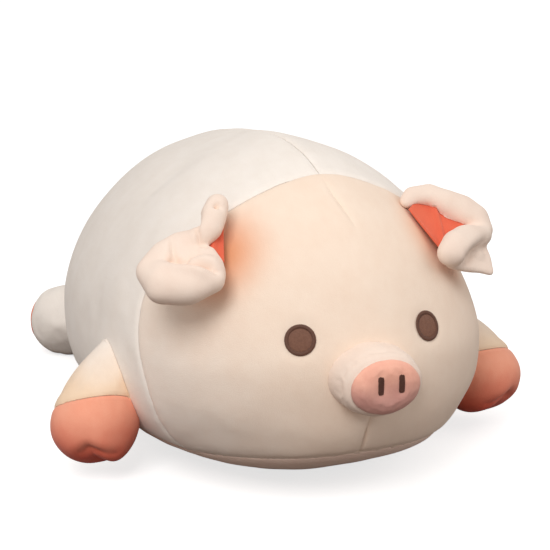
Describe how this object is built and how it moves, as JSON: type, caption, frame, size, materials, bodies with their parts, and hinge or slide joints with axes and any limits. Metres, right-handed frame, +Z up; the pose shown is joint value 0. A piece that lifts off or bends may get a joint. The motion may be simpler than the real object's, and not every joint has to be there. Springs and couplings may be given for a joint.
{
  "type": "plush pig",
  "caption": "Plush pig cushion lying on its belly, with a rounded stuffed body, a short snout, folded floppy ears, stubby legs with soft hooves and a curled tail.",
  "frame": {"origin": "middle of the bounding box, at the level of the surface the pig lies on", "axes": "+Z up, the pig faces -Y, its right side is at -X"},
  "size_m": [0.4176, 0.5729, 0.2623],
  "materials": {
    "cream_plush": "matt short-pile plush",
    "peach_plush": "matt short-pile plush",
    "coral_plush": "matt short-pile plush",
    "pink_plush": "matt short-pile plush",
    "brown_thread": "satin-stitched embroidery thread",
    "fibre_filling": "loose polyester fibre"
  },
  "bodies": {
    "body": {"body_stuffing": "fibre_filling", "face_panel": "peach_plush", "back_panel_right": "cream_plush", "back_panel_left": "cream_plush", "belly_panel": "cream_plush", "snout_band": "cream_plush", "snout_patch": "pink_plush", "snout_stuffing": "fibre_filling", "nostril_right": "brown_thread", "nostril_left": "brown_thread", "eye_right": "brown_thread", "eye_left": "brown_thread"},
    "ear_right": {"ear_right_outer": "cream_plush", "ear_right_lining": "coral_plush", "ear_right_padding": "fibre_filling"},
    "ear_left": {"ear_left_outer": "cream_plush", "ear_left_lining": "coral_plush", "ear_left_padding": "fibre_filling"},
    "front_leg_right": {"front_leg_right_sleeve": "cream_plush", "front_leg_right_hoof": "coral_plush", "front_leg_right_stuffing": "fibre_filling"},
    "front_leg_left": {"front_leg_left_sleeve": "cream_plush", "front_leg_left_hoof": "coral_plush", "front_leg_left_stuffing": "fibre_filling"},
    "rear_leg_right": {"rear_leg_right_sleeve": "cream_plush", "rear_leg_right_hoof": "coral_plush", "rear_leg_right_stuffing": "fibre_filling"},
    "rear_leg_left": {"rear_leg_left_sleeve": "cream_plush", "rear_leg_left_hoof": "coral_plush", "rear_leg_left_stuffing": "fibre_filling"},
    "tail": {"tail": "cream_plush"}
  },
  "joints": [
    {"name": "ear_right_seam", "type": "hinge", "parent": "body", "child": "ear_right", "pos_m": [-0.08509, -0.16416, 0.2042], "axis": [0.2413, 0.7439, 0.6232], "range_deg": [0, 40], "stiffness_Nm_per_rad": 0.02},
    {"name": "ear_left_seam", "type": "hinge", "parent": "body", "child": "ear_left", "pos_m": [0.08509, -0.16416, 0.2042], "axis": [0.2413, -0.7439, -0.6232], "range_deg": [0, 40], "stiffness_Nm_per_rad": 0.02},
    {"name": "front_leg_right_seam", "type": "hinge", "parent": "body", "child": "front_leg_right", "pos_m": [-0.15555, -0.07123, 0.10649], "axis": [-0.0767, 0.9971, 0], "range_deg": [0, 25], "stiffness_Nm_per_rad": 0.1},
    {"name": "front_leg_left_seam", "type": "hinge", "parent": "body", "child": "front_leg_left", "pos_m": [0.15555, -0.07123, 0.10649], "axis": [-0.0767, -0.9971, 0], "range_deg": [0, 25], "stiffness_Nm_per_rad": 0.1},
    {"name": "rear_leg_right_seam", "type": "hinge", "parent": "body", "child": "rear_leg_right", "pos_m": [-0.10148, 0.21546, 0.06659], "axis": [0.6772, 0.7358, 0], "range_deg": [0, 20], "stiffness_Nm_per_rad": 0.1},
    {"name": "rear_leg_left_seam", "type": "hinge", "parent": "body", "child": "rear_leg_left", "pos_m": [0.10148, 0.21546, 0.06659], "axis": [0.6772, -0.7358, 0], "range_deg": [0, 20], "stiffness_Nm_per_rad": 0.1},
    {"name": "tail_seam", "type": "hinge", "parent": "body", "child": "tail", "pos_m": [0, 0.26347, 0.118], "axis": [0, 0, 1], "range_deg": [-20, 20], "stiffness_Nm_per_rad": 0.01}
  ]
}
